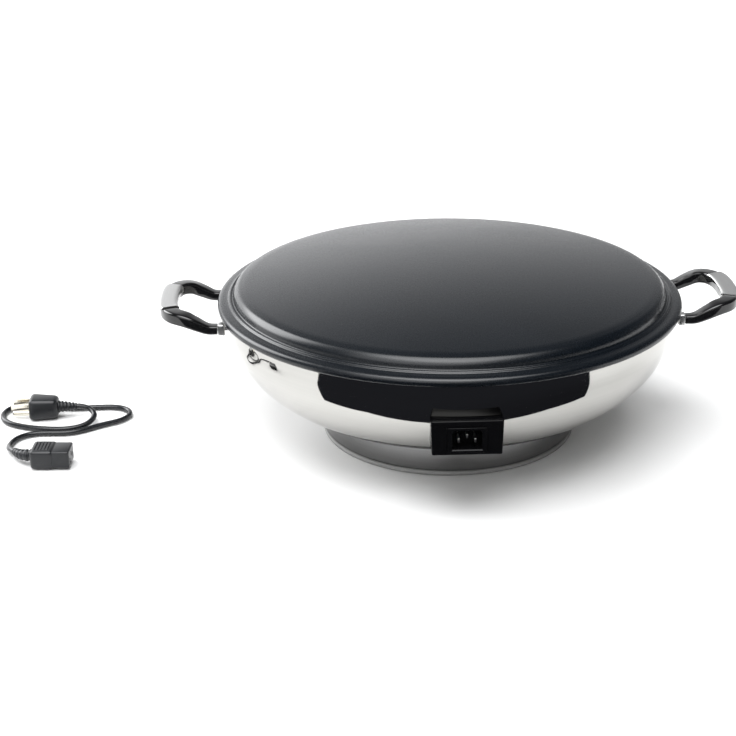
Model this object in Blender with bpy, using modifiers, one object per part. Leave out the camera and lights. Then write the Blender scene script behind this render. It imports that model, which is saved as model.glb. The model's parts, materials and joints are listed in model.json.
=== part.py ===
"""Electric griddle: a domed non-stick plate on a polished steel bowl, two handles and a loose power lead.

Origin at the middle of the foot ring's underside, +Z up. The inlet faces -Y, the handles are at -X and +X.
Run it in Blender 4.5: blender --background --python part.py
"""

import math

import bmesh
import bpy
from mathutils import Matrix, Vector

SEGMENTS = 40
GAP = 0.0003

# Cooking plate
LIP_RADIUS = 0.215
LIP_TOP = 0.134
LIP_BOTTOM = 0.126
DOME_RADIUS = 0.190
DOME_EDGE_HEIGHT = 0.146
DOME_RISE = 0.013
PLATE_THICKNESS = 0.0042

# Bowl
BOWL_RADIUS = 0.209
SHEET = 0.001
RIM_TOP = 0.1303
CURVE_TOP = 0.120
CURVE_DEPTH = 0.100
CURVE_INNER_RADIUS = 0.060
FLOOR_RADIUS = 0.104
FLOOR_HEIGHT = 0.0244
FLOOR_OPENING = 0.090

# Foot
FOOT_RADIUS = 0.118
FOOT_RING_HEIGHT = 0.0042
FOOT_TOP = 0.0272

# Posts, screws and bottom cover share one bolt circle
POST_CIRCLE = 0.097
POST_ANGLES = (90, 210, 330)
REFLECTOR_HEIGHT = 0.100
COVER_RADIUS = 0.103

# Heating element
ELEMENT_HEIGHT = 0.114
ELEMENT_TUBE = 0.004
ELEMENT_OUTER = 0.150
ELEMENT_INNER = 0.100
ELEMENT_LEG_BOTTOM = 0.086
CLIP_ANGLES = (20, 140, 240)

# Handles
ARM_SPREAD = 0.046
ARM_HEIGHT = 0.1185
ARM_START = 0.2133
GRIP_PATH = (
    (ARM_START, ARM_SPREAD, ARM_HEIGHT),
    (0.222, ARM_SPREAD, 0.1190),
    (0.232, ARM_SPREAD, 0.1235),
    (0.242, 0.0445, 0.1278),
    (0.252, 0.0385, 0.1290),
    (0.2580, 0.027, 0.1290),
    (0.2598, 0.0135, 0.1290),
    (0.260, 0.0, 0.1290),
)
GRIP_SCALE = (0.72, 0.76, 0.92, 1.0, 1.0, 1.0, 1.0, 1.0)
GRIP_HEIGHT = 0.0112
GRIP_WIDTH = 0.0152
GRIP_CORNER = 0.0026

# Inlet
INLET_FACE = -0.2133
INLET_HEIGHT = 0.0785
HOUSING_WIDTH = 0.061
HOUSING_BOTTOM = 0.0645
HOUSING_TOP = 0.0955
HOUSING_WALL = 0.0025
BOSS_HEIGHT = 0.080
BOSS_SPREAD = 0.023
BEZEL = (0.033, 0.0012, 0.0225)
SOCKET_BODY = (0.0275, 0.027, 0.020)
SOCKET_RECESS = (0.0245, 0.0155, 0.017)
PIN_OFFSETS = {
    "neutral": (-0.007, -0.002),
    "earth": (0.0, 0.002),
    "live": (0.007, -0.002),
}
PIN_FRONT = -0.2105
PIN_BACK = -0.178

# Power lead
CORD_RADIUS = 0.0026
CORD_STEP = 0.013
CONNECTOR_BACK = (-0.3862, -0.0735, 0.00975)
CONNECTOR_TURN = -3
CONNECTOR_RELIEF = (
    (-0.3866, -0.0735, 0.00975),
    (-0.3925, -0.0725, 0.0096),
    (-0.3985, -0.0685, 0.0090),
    (-0.4037, -0.0614, 0.0081),
)
CORD_ROUTE = (
    (-0.4040, -0.0610, 0.0080),
    (-0.4095, -0.0525, 0.0066),
    (-0.4128, -0.0425, 0.0040),
    (-0.4128, -0.0315, 0.0027),
    (-0.4088, -0.0205, 0.0027),
    (-0.4003, -0.0127, 0.0027),
    (-0.3890, -0.0095, 0.0027),
    (-0.3775, -0.0095, 0.0027),
    (-0.3660, -0.0098, 0.0027),
    (-0.3550, -0.0075, 0.0027),
    (-0.3452, -0.0020, 0.0027),
    (-0.3360, 0.0045, 0.0027),
    (-0.3260, 0.0105, 0.0027),
    (-0.3155, 0.0170, 0.0027),
    (-0.3085, 0.0270, 0.0027),
    (-0.3090, 0.0385, 0.0027),
    (-0.3165, 0.0465, 0.0027),
    (-0.3275, 0.0500, 0.0027),
    (-0.3400, 0.0500, 0.0027),
    (-0.3530, 0.0495, 0.0027),
    (-0.3660, 0.0500, 0.0027),
    (-0.3785, 0.0525, 0.0027),
    (-0.3905, 0.0560, 0.0027),
    (-0.4025, 0.0590, 0.0027),
    (-0.4140, 0.0590, 0.0027),
    (-0.4240, 0.0540, 0.0027),
    (-0.4300, 0.0445, 0.0027),
    (-0.4310, 0.0330, 0.0027),
    (-0.4270, 0.0225, 0.0027),
    (-0.4190, 0.0140, 0.0027),
    (-0.4085, 0.0080, 0.0027),
    (-0.3970, 0.0035, 0.0027),
    (-0.3850, 0.0005, 0.0027),
    (-0.3725, -0.0010, 0.0027),
    (-0.3605, 0.0005, 0.0027),
    (-0.3500, 0.0050, 0.0034),
    (-0.3425, 0.0130, 0.0052),
    (-0.3410, 0.0225, 0.0076),
    (-0.3465, 0.0310, 0.0098),
    (-0.3550, 0.0348, 0.0109),
    (-0.3590, 0.0350, 0.0110),
)
PLUG_BACK = (-0.3765, 0.035, 0.011)
PLUG_LENGTH = 0.028
PLUG_WIDTH = 0.024
PLUG_HEIGHT = 0.0218
BLADE_LENGTH = 0.017


def clear_scene():
    for thing in list(bpy.data.objects):
        bpy.data.objects.remove(thing, do_unlink=True)


def add_collection(name):
    collection = bpy.data.collections.new(name)
    bpy.context.scene.collection.children.link(collection)
    return collection


def make_material(name, colour, roughness, metallic=0.0):
    material = bpy.data.materials.new(name)
    material.use_nodes = True
    shader = material.node_tree.nodes["Principled BSDF"]
    shader.inputs["Base Color"].default_value = (*colour, 1.0)
    shader.inputs["Roughness"].default_value = roughness
    shader.inputs["Metallic"].default_value = metallic
    return material


clear_scene()
PARTS = add_collection("electric_griddle")
CUTTERS = add_collection("cutters")
CUTTERS.hide_render = True

NON_STICK = make_material("non_stick_coating", (0.022, 0.023, 0.026), 0.34)
STEEL = make_material("polished_steel", (0.78, 0.77, 0.75), 0.06, 1.0)
BRUSHED = make_material("brushed_steel", (0.62, 0.62, 0.61), 0.3, 1.0)
ALUMINIUM = make_material("aluminised_steel", (0.7, 0.7, 0.71), 0.35, 1.0)
BLACK = make_material("black_plastic", (0.008, 0.008, 0.009), 0.12)
RUBBER = make_material("grey_rubber", (0.25, 0.25, 0.25), 0.6)
CORD = make_material("cord_rubber", (0.02, 0.02, 0.023), 0.42)
BRASS = make_material("nickelled_brass", (0.72, 0.66, 0.52), 0.25, 1.0)
CERAMIC = make_material("ceramic", (0.82, 0.8, 0.74), 0.5)
WOOL = make_material("mineral_wool", (0.55, 0.5, 0.36), 0.95)
SHEATH = make_material("element_sheath", (0.14, 0.13, 0.12), 0.5, 1.0)
WIRE_COLOURS = {
    "live": make_material("wire_brown", (0.16, 0.06, 0.025), 0.5),
    "neutral": make_material("wire_blue", (0.03, 0.08, 0.35), 0.5),
    "earth": make_material("wire_green", (0.1, 0.32, 0.05), 0.5),
}


def add_object(name, data, material=None, cutter=False):
    thing = bpy.data.objects.new(name, data)
    (CUTTERS if cutter else PARTS).objects.link(thing)
    if cutter:
        thing.hide_render = True
        thing.display_type = "WIRE"
    else:
        data.materials.append(material)
    return thing


def mesh_from(shape, name):
    mesh = bpy.data.meshes.new(name)
    bmesh.ops.recalc_face_normals(shape, faces=shape.faces)
    shape.to_mesh(mesh)
    shape.free()
    mesh.shade_smooth()
    mesh.set_sharp_from_angle(angle=math.radians(32))
    return mesh


def turned(name, profile, material=None, closed=False, steps=SEGMENTS, cutter=False):
    """A profile of (radius, height) points turned about the object's Z axis."""
    shape = bmesh.new()
    points = [shape.verts.new((radius, 0.0, height)) for radius, height in profile]
    pairs = list(zip(points, points[1:]))
    if closed:
        pairs.append((points[-1], points[0]))
    for start, end in pairs:
        shape.edges.new((start, end))
    mesh = bpy.data.meshes.new(name)
    shape.to_mesh(mesh)
    shape.free()
    thing = add_object(name, mesh, material, cutter)
    screw = thing.modifiers.new("Turn", "SCREW")
    screw.steps = screw.render_steps = steps
    screw.use_merge_vertices = True
    screw.merge_threshold = 0.00001
    screw.use_smooth_shade = True
    return thing


def block(name, size, centre, material=None, bevel=0.0, cutter=False):
    """A box, with rounded edges where bevel is given."""
    shape = bmesh.new()
    bmesh.ops.create_cube(shape, size=1.0)
    bmesh.ops.scale(shape, vec=size, verts=shape.verts)
    thing = add_object(name, mesh_from(shape, name), material, cutter)
    thing.location = centre
    if bevel:
        add_bevel(thing, bevel)
    return thing


def add_bevel(thing, width, segments=2):
    bevel = thing.modifiers.new("Bevel", "BEVEL")
    bevel.width = width
    bevel.segments = segments
    bevel.limit_method = "ANGLE"


def drill(target, name, holes):
    """One cutter for every round hole in the target: (centre, direction, radius, length)."""
    shape = bmesh.new()
    for centre, direction, radius, length in holes:
        turn = Vector((0, 0, 1)).rotation_difference(Vector(direction)).to_matrix().to_4x4()
        bmesh.ops.create_cone(
            shape, cap_ends=True, segments=12, radius1=radius, radius2=radius, depth=length,
            matrix=Matrix.Translation(centre) @ turn,
        )
    cut(target, add_object(name, mesh_from(shape, name), cutter=True))


def cut(target, cutter, operation="DIFFERENCE"):
    boolean = target.modifiers.new(cutter.name, "BOOLEAN")
    boolean.operation = operation
    boolean.object = cutter


def catmull_rom(points, step):
    """Points about step apart on a smooth curve through the given ones."""
    route = [Vector(point) for point in points]
    route = [2 * route[0] - route[1], *route, 2 * route[-1] - route[-2]]
    fine = []
    for before, start, end, after in zip(route, route[1:], route[2:], route[3:]):
        for part in range(20):
            t = part / 20
            fine.append(
                0.5 * (2 * start + (end - before) * t
                       + (2 * before - 5 * start + 4 * end - after) * t**2
                       + (3 * start - before - 3 * end + after) * t**3)
            )
    fine.append(route[-2])
    length = sum((b - a).length for a, b in zip(fine, fine[1:]))
    count = max(2, round(length / step))
    even, run, wanted = [fine[0]], 0.0, length / count
    for a, b in zip(fine, fine[1:]):
        piece = (b - a).length
        while run + piece >= wanted * len(even) and len(even) < count:
            even.append(a.lerp(b, (wanted * len(even) - run) / piece))
        run += piece
    even.append(fine[-1])
    return even


def tube(name, points, radius, material, scales=None, resolution=2):
    """A round rod along points, in metres, with filled ends."""
    curve = bpy.data.curves.new(name, "CURVE")
    curve.dimensions = "3D"
    curve.bevel_depth = radius
    curve.bevel_resolution = resolution
    curve.use_fill_caps = True
    spline = curve.splines.new("POLY")
    spline.points.add(len(points) - 1)
    for index, (point, place) in enumerate(zip(spline.points, points)):
        point.co = (*place, 1.0)
        point.radius = scales[index] if scales else 1.0
    return add_object(name, curve, material)


def to_mesh(curve_object):
    """The curve as a welded mesh object, so that it can be cut."""
    graph = bpy.context.evaluated_depsgraph_get()
    mesh = bpy.data.meshes.new_from_object(curve_object.evaluated_get(graph))
    shape = bmesh.new()
    shape.from_mesh(mesh)
    bmesh.ops.remove_doubles(shape, verts=shape.verts, dist=0.000001)
    bmesh.ops.recalc_face_normals(shape, faces=shape.faces)
    shape.to_mesh(mesh)
    shape.free()
    name = curve_object.name
    place = curve_object.matrix_world.copy()
    bpy.data.objects.remove(curve_object, do_unlink=True)
    thing = bpy.data.objects.new(name, mesh)
    PARTS.objects.link(thing)
    thing.matrix_world = place
    return thing


def folded_strip(name, outline, width, turn=0.0):
    """A strip of sheet metal: its edge outline of (across, up) points, given a width and turned about Z."""
    curve = bpy.data.curves.new(name, "CURVE")
    curve.dimensions = "2D"
    curve.fill_mode = "BOTH"
    curve.extrude = width / 2
    spline = curve.splines.new("POLY")
    spline.points.add(len(outline) - 1)
    for point, (across, up) in zip(spline.points, outline):
        point.co = (across, up, 0.0, 1.0)
    spline.use_cyclic_u = True
    strip = add_object(name, curve, BRUSHED)
    strip.rotation_euler = (math.pi / 2, 0.0, math.radians(turn))


def screw_piece(name, place, direction, head, shaft):
    """A pan-head screw: head and shaft are (radius, length), place is the head's underside."""
    profile = [
        (0.0, head[1]), (head[0] * 0.7, head[1]), (head[0], head[1] * 0.55), (head[0], 0.0),
        (shaft[0], 0.0), (shaft[0], -shaft[1]), (0.0, -shaft[1]),
    ]
    thing = turned(name, profile, BRUSHED, steps=10)
    thing.location = place
    thing.rotation_mode = "QUATERNION"
    thing.rotation_quaternion = Vector((0, 0, -1)).rotation_difference(Vector(direction))
    return thing


def polar(radius, degrees, height):
    angle = math.radians(degrees)
    return Vector((radius * math.cos(angle), radius * math.sin(angle), height))


def bowl_curve(inset, count=8):
    """Points down the curved wall: a quarter ellipse from the straight upper wall to the flat floor."""
    reach = BOWL_RADIUS - CURVE_INNER_RADIUS - inset
    depth = CURVE_DEPTH - inset
    last = math.acos((FLOOR_RADIUS - CURVE_INNER_RADIUS) / reach)
    angles = [last * index / count for index in range(count + 1)]
    return [(CURVE_INNER_RADIUS + reach * math.cos(a), CURVE_TOP - depth * math.sin(a)) for a in angles]


def make_plate():
    def dome(radius):
        return DOME_EDGE_HEIGHT + DOME_RISE * (1.0 - (radius / DOME_RADIUS) ** 2)

    rings = [DOME_RADIUS * index / 5 for index in range(6)]
    top = [(radius, dome(radius)) for radius in rings]
    shoulder = [(0.1955, 0.1445), (0.1995, 0.1405), (0.2009, 0.1357)]
    bead = [(0.2034, 0.1364), (0.2055, 0.1354)]
    lip = [
        (0.2065, LIP_TOP), (0.2115, LIP_TOP - 0.0006), (0.2143, 0.1318), (LIP_RADIUS, 0.129),
        (0.2134, LIP_BOTTOM), (0.2124, 0.127), (0.2122, 0.1307),
    ]
    skirt = [(0.2055, 0.1307), (0.2053, 0.1246), (0.2026, 0.1246)]
    under_shoulder = [(0.2012, 0.1315), (0.1965, 0.139)]
    underside = [(radius, dome(radius) - PLATE_THICKNESS) for radius in reversed(rings)]
    profile = top + shoulder + bead + lip + skirt + under_shoulder + underside
    turned("cooking_plate", profile, NON_STICK)


def make_bowl():
    outer = [(0.2106, RIM_TOP), (0.211, 0.1298), (0.2106, 0.1293), (BOWL_RADIUS, 0.128)]
    inner = [(BOWL_RADIUS - SHEET, 0.1296), (0.2085, RIM_TOP)]
    profile = (
        outer + bowl_curve(0.0) + [(FLOOR_OPENING, FLOOR_HEIGHT)]
        + [(FLOOR_OPENING, FLOOR_HEIGHT + SHEET)] + list(reversed(bowl_curve(SHEET))) + inner
    )
    bowl = turned("bowl_shell", profile, STEEL, closed=True)
    opening = block(
        "cut_inlet_opening", (0.032, 0.06, 0.024), (0.0, -0.19, INLET_HEIGHT), cutter=True
    )
    cut(bowl, opening)
    holes = [(polar(POST_CIRCLE, angle, 0.025), (0, 0, 1), 0.0024, 0.006) for angle in POST_ANGLES]
    for side in (-1, 1):
        holes.append((Vector((side * BOSS_SPREAD, -0.196, BOSS_HEIGHT)), (0, 1, 0), 0.002, 0.02))
        for arm in (-1, 1):
            root = Vector((side * 0.2035, arm * ARM_SPREAD, ARM_HEIGHT))
            holes.append((root, (1, 0, 0), 0.0025, 0.014))
    drill(bowl, "cut_bowl_holes", holes)


def make_foot():
    band = [
        (FOOT_RADIUS - SHEET, FOOT_TOP), (FOOT_RADIUS, FOOT_TOP),
        (FOOT_RADIUS, 0.0045), (FOOT_RADIUS - SHEET, 0.0045),
    ]
    turned("foot_band", band, STEEL, closed=True)
    ring = [
        (0.1138, 0.009), (0.1167, 0.009), (0.1167, FOOT_RING_HEIGHT), (0.1184, FOOT_RING_HEIGHT),
        (0.1193, 0.002), (0.1184, 0.0), (0.1138, 0.0),
    ]
    turned("foot_ring", ring, RUBBER, closed=True)


def make_bottom_cover():
    cover_top = FLOOR_HEIGHT - GAP
    sheet, dish = 0.0015, 0.003
    profile = [
        (0.0, cover_top - dish), (0.084, cover_top - dish), (0.088, cover_top), (COVER_RADIUS, cover_top),
        (COVER_RADIUS, cover_top - sheet), (0.0875, cover_top - sheet), (0.0835, cover_top - dish - sheet),
        (0.0, cover_top - dish - sheet),
    ]
    cover = turned("bottom_cover", profile, ALUMINIUM)
    holes = [(polar(POST_CIRCLE, angle, 0.024), (0, 0, 1), 0.0024, 0.006) for angle in POST_ANGLES]
    holes += [(polar(0.06, angle, 0.02), (0, 0, 1), 0.004, 0.01) for angle in range(0, 360, 60)]
    drill(cover, "cut_cover_holes", holes)
    for index, angle in enumerate(POST_ANGLES, 1):
        place = polar(POST_CIRCLE, angle, cover_top - sheet - GAP)
        screw_piece(f"bottom_screw_{index}", place, (0, 0, 1), (0.004, 0.0024), (0.0019, 0.012))


def make_posts():
    bottom = FLOOR_HEIGHT + SHEET + GAP
    top = REFLECTOR_HEIGHT - GAP
    bore, depth = 0.0023, 0.012
    profile = [
        (0.0, top - depth), (bore, top - depth), (bore, top), (0.005, top),
        (0.005, bottom), (bore, bottom), (bore, bottom + depth), (0.0, bottom + depth),
    ]
    for index, angle in enumerate(POST_ANGLES, 1):
        post = turned(f"reflector_post_{index}", profile, BRUSHED, steps=12)
        post.location = polar(POST_CIRCLE, angle, 0.0)
        place = polar(POST_CIRCLE, angle, REFLECTOR_HEIGHT + 0.0008 + GAP)
        screw_piece(f"reflector_screw_{index}", place, (0, 0, -1), (0.004, 0.0024), (0.0019, 0.01))


def element_ends():
    outer = polar(ELEMENT_OUTER, -82, 0.0)
    inner = polar(ELEMENT_INNER, -82, 0.0)
    return outer, inner


def make_reflector():
    low, high, sheet = REFLECTOR_HEIGHT, 0.118, 0.0008
    profile = [
        (0.0, low + sheet), (0.162, low + sheet), (0.168, low + 0.0022), (0.1965, high), (0.1985, high),
        (0.1985, high - sheet), (0.197, high - sheet), (0.1685, low + 0.0014), (0.1625, low), (0.0, low),
    ]
    dish = turned("reflector_dish", profile, ALUMINIUM)
    holes = [(polar(POST_CIRCLE, angle, low), (0, 0, 1), 0.0024, 0.01) for angle in POST_ANGLES]
    holes += [(end + Vector((0, 0, low)), (0, 0, 1), 0.0063, 0.01) for end in element_ends()]
    holes.append((Vector((0.0, -0.03, low)), (0, 0, 1), 0.006, 0.01))
    drill(dish, "cut_reflector_holes", holes)
    wool = [(0.04, 0.0994), (0.088, 0.0994), (0.088, 0.091), (0.04, 0.091)]
    turned("insulation_ring", wool, WOOL, closed=True)


def element_route():
    """Down leg, outer turn, hairpin bend, inner turn, down leg."""
    start, hairpin, spacing, bend = -82, 256, 9, 0.009
    outer_end, inner_end = element_ends()
    lead_in = [outer_end + Vector((0, 0, z)) for z in (ELEMENT_LEG_BOTTOM, ELEMENT_HEIGHT - bend)]
    lead_in.append(outer_end + Vector((0.0035, 0.0006, ELEMENT_HEIGHT - 0.0035)))
    outer = [polar(ELEMENT_OUTER, angle, ELEMENT_HEIGHT) for angle in range(start + 6, hairpin, spacing)]
    middle = (ELEMENT_OUTER + ELEMENT_INNER) / 2
    reach = (ELEMENT_OUTER - ELEMENT_INNER) / 2
    turn = []
    for index in range(1, 6):
        sweep = math.pi * index / 6
        angle = hairpin - 2 + math.degrees(reach * math.sin(sweep) / middle)
        turn.append(polar(middle + reach * math.cos(sweep), angle, ELEMENT_HEIGHT))
    inner = [polar(ELEMENT_INNER, angle, ELEMENT_HEIGHT) for angle in range(hairpin - 6, start + 8, -13)]
    lead_out = [inner_end + Vector((0.0035, 0.0006, ELEMENT_HEIGHT - 0.0035))]
    lead_out += [inner_end + Vector((0, 0, z)) for z in (ELEMENT_HEIGHT - bend, ELEMENT_LEG_BOTTOM)]
    return lead_in + outer + turn + inner + lead_out


def make_element():
    tube("heating_element", element_route(), ELEMENT_TUBE, SHEATH)
    bore = ELEMENT_TUBE + GAP
    shelf = REFLECTOR_HEIGHT + 0.0008 + GAP
    bush = [(bore, shelf + 0.002), (0.0085, shelf + 0.002), (0.0085, shelf), (0.006, shelf),
            (0.006, 0.092), (bore, 0.092)]
    for name, end in zip(("outer", "inner"), element_ends()):
        piece = turned(f"element_bush_{name}", bush, CERAMIC, closed=True, steps=14)
        piece.location = end
    for index, angle in enumerate(CLIP_ANGLES, 1):
        make_clip(f"element_support_{index}", angle)


def make_clip(name, degrees):
    """A folded strip that carries both turns of the element above the reflector."""
    foot, shelf = REFLECTOR_HEIGHT + 0.0008 + GAP, ELEMENT_HEIGHT - ELEMENT_TUBE - GAP
    near, far, strip = ELEMENT_INNER - 0.007, ELEMENT_OUTER + 0.007, 0.0012
    outline = [
        (near, foot), (near + strip, foot), (near + strip, shelf - strip), (far - strip, shelf - strip),
        (far - strip, foot), (far, foot), (far, shelf), (near, shelf),
    ]
    folded_strip(name, outline, 0.008, degrees)


def make_thermostat():
    foot = REFLECTOR_HEIGHT + 0.0008 + GAP
    top, strip, half = 0.1417, 0.0012, 0.014
    outline = [
        (-half - 0.008, foot), (-half + strip, foot), (-half + strip, top - strip),
        (half - strip, top - strip), (half - strip, foot), (half + 0.008, foot),
        (half + 0.008, foot + strip), (half, foot + strip),
        (half, top), (-half, top), (-half, foot + strip), (-half - 0.008, foot + strip),
    ]
    folded_strip("thermostat_bracket", outline, 0.012)
    capsule = [
        (0.0, 0.1539), (0.0085, 0.1539), (0.0095, 0.1531), (0.0095, 0.1495), (0.0078, 0.149),
        (0.0078, top + GAP), (0.0, top + GAP),
    ]
    turned("thermostat_capsule", capsule, CERAMIC, steps=20)
    fuse = turned(
        "thermal_fuse",
        [(0.0, 0.008), (0.0018, 0.008), (0.003, 0.0065), (0.003, -0.0065), (0.0018, -0.008), (0.0, -0.008)],
        BRUSHED, steps=14,
    )
    fuse.location = (0.02, -0.12, 0.07)
    fuse.rotation_euler = (math.pi / 2, 0.0, 0.0)


def make_wires():
    back = PIN_BACK + GAP
    outer_end, inner_end = element_ends()
    leg = ELEMENT_LEG_BOTTOM - GAP
    low_pin, high_pin = (INLET_HEIGHT + PIN_OFFSETS[name][1] for name in ("live", "earth"))
    routes = {
        "wire_inlet_to_fuse": ("live", (
            (0.007, back, low_pin), (0.007, -0.168, low_pin), (0.010, -0.152, 0.0735),
            (0.018, -0.138, 0.0702), (0.02, -0.1283, 0.07),
        )),
        "wire_fuse_to_thermostat": ("live", (
            (0.02, -0.1117, 0.07), (0.0185, -0.098, 0.068), (0.012, -0.07, 0.066), (0.004, -0.042, 0.072),
            (0.0025, -0.031, 0.085), (0.0025, -0.03, 0.1), (0.003, -0.028, 0.115), (0.004, -0.022, 0.131),
            (0.0045, -0.0155, 0.142), (0.0045, -0.0087, 0.1455),
        )),
        "wire_thermostat_to_element": ("live", (
            (-0.0045, -0.0087, 0.1455), (-0.0045, -0.0155, 0.142), (-0.004, -0.022, 0.131),
            (-0.003, -0.028, 0.115), (-0.0025, -0.03, 0.1), (-0.0025, -0.031, 0.085),
            (-0.001, -0.042, 0.062), (0.004, -0.066, 0.056), (0.0105, -0.088, 0.06),
            (inner_end.x, inner_end.y, 0.072), (inner_end.x, inner_end.y, leg),
        )),
        "wire_neutral": ("neutral", (
            (-0.007, back, low_pin), (-0.007, -0.169, low_pin - 0.0005), (-0.002, -0.157, 0.067),
            (0.012, -0.149, 0.064), (outer_end.x, outer_end.y, 0.07), (outer_end.x, outer_end.y, leg),
        )),
        "wire_earth": ("earth", (
            (0.0, back, high_pin), (0.0, -0.168, high_pin), (-0.012, -0.15, 0.077), (-0.028, -0.125, 0.06),
            (-0.038, -0.1, 0.042), (-0.039, -0.089, 0.0375),
        )),
    }
    for name, (colour, points) in routes.items():
        tube(name, catmull_rom(points, 0.009), 0.0015, WIRE_COLOURS[colour])
    stud = turned(
        "earth_stud",
        [(0.0, 0.0385), (0.0018, 0.0385), (0.002, 0.038), (0.002, FLOOR_HEIGHT + SHEET + GAP),
         (0.0, FLOOR_HEIGHT + SHEET + GAP)],
        BRASS, steps=14,
    )
    stud.location = (-0.0393, -0.0847, 0.0)
    nut = turned(
        "earth_nut",
        [(0.0023, 0.0352), (0.0038, 0.0352), (0.0044, 0.0346), (0.0044, 0.0324), (0.0023, 0.0324)],
        BRASS, closed=True, steps=6,
    )
    nut.location = stud.location


def rounded_outline(width, height, corner, count=3):
    """A rounded rectangle about the origin, counter-clockwise."""
    points = []
    for turn, (sx, sy) in enumerate(((1, 1), (-1, 1), (-1, -1), (1, -1))):
        centre = Vector((sx * (width / 2 - corner), sy * (height / 2 - corner)))
        for index in range(count):
            angle = math.radians(90 * turn + 90 * index / (count - 1))
            points.append(centre + corner * Vector((math.cos(angle), math.sin(angle))))
    return points


def outline_curve(name, points):
    curve = bpy.data.curves.new(name, "CURVE")
    curve.dimensions = "2D"
    spline = curve.splines.new("POLY")
    spline.points.add(len(points) - 1)
    for point, place in zip(spline.points, points):
        point.co = (place[0], place[1], 0.0, 1.0)
    spline.use_cyclic_u = True
    return add_object(name, curve, cutter=True)


def swept(name, path, scales, outline, material):
    """An outline carried along a path and kept upright, scaled point by point."""
    curve = bpy.data.curves.new(name, "CURVE")
    curve.dimensions = "3D"
    curve.twist_mode = "Z_UP"
    curve.bevel_mode = "OBJECT"
    curve.bevel_object = outline
    curve.use_fill_caps = True
    spline = curve.splines.new("POLY")
    spline.points.add(len(path) - 1)
    for point, place, scale in zip(spline.points, path, scales):
        point.co = (*place, 1.0)
        point.radius = scale
    return to_mesh(add_object(name, curve, material))


def grip_stations(side):
    """Path and section scale from the front arm's root, round the crossbar, to the rear arm's root."""
    half = [Vector(place) for place in GRIP_PATH]
    places = [Vector((p.x, -p.y, p.z)) for p in half] + list(reversed(half[:-1]))
    scales = list(GRIP_SCALE) + list(reversed(GRIP_SCALE[:-1]))
    fine = catmull_rom(places, 0.0075)
    knots = [min(range(len(fine)), key=lambda i: (fine[i] - place).length) for place in places]
    even = []
    for (start, end), (low, high) in zip(zip(knots, knots[1:]), zip(scales, scales[1:])):
        even += [low + (high - low) * index / (end - start) for index in range(end - start)]
    even.append(scales[-1])
    return [Vector((side * p.x, p.y, p.z)) for p in fine], even


def make_handle(side_name, side):
    path, scales = grip_stations(side)
    profile = outline_curve(f"outline_grip_{side_name}", rounded_outline(GRIP_WIDTH, GRIP_HEIGHT, GRIP_CORNER))
    grip = swept(f"handle_grip_{side_name}", path, scales, profile, BLACK)
    make_cap(side_name, side)
    bores = []
    for arm_name, arm in (("front", -1), ("rear", 1)):
        label = f"{side_name}_{arm_name}"
        root = Vector((side * 0.2035, arm * ARM_SPREAD, ARM_HEIGHT))
        bores.append((Vector((side * 0.2165, root.y, root.z)), (1, 0, 0), 0.0023, 0.010))
        ferrule = block(
            f"handle_ferrule_{label}", (0.020, 0.0095, 0.0106),
            (side * (ARM_START - GAP - 0.010), root.y, root.z), BRUSHED, bevel=0.0012,
        )
        wall = turned(
            f"cut_wall_{label}",
            [(0.0, 0.14), (BOWL_RADIUS + GAP, 0.14), (BOWL_RADIUS + GAP, 0.1), (0.0, 0.1)],
            cutter=True,
        )
        cut(ferrule, wall)
        drill(ferrule, f"cut_ferrule_{label}", [(root, (1, 0, 0), 0.0024, 0.04)])
        screw_piece(
            f"handle_screw_{label}", Vector((side * 0.2007, root.y, root.z)), (side, 0, 0),
            (0.0038, 0.0024), (0.0019, 0.018),
        )
    drill(grip, f"cut_grip_{side_name}", bores)


def make_cap(side_name, side):
    """A thin folded steel strip over the top and the outer side of the crossbar."""
    clear, sheet, reach = 0.0004, 0.0009, 0.031
    outside, inside = (
        rounded_outline(GRIP_WIDTH + 2 * grow, GRIP_HEIGHT + 2 * grow, GRIP_CORNER + grow)
        for grow in (clear + sheet, clear)
    )
    keep = range(0, 6)
    loop = [outside[i] for i in keep] + [inside[i] for i in reversed(keep)]
    hem = GRIP_HEIGHT * 0.18
    loop = [Vector((outside[0].x, -hem))] + loop + [Vector((inside[0].x, -hem))]
    path, scales = grip_stations(side)
    keep_path = [(p, s) for p, s in zip(path, scales) if abs(p.y) <= reach]
    mirrored = [Vector((-point.x, point.y)) for point in reversed(loop)]
    profile = outline_curve(f"outline_cap_{side_name}", loop if side > 0 else mirrored)
    places, sizes = zip(*keep_path)
    swept(f"handle_cap_{side_name}", places, sizes, profile, BRUSHED)


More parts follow.
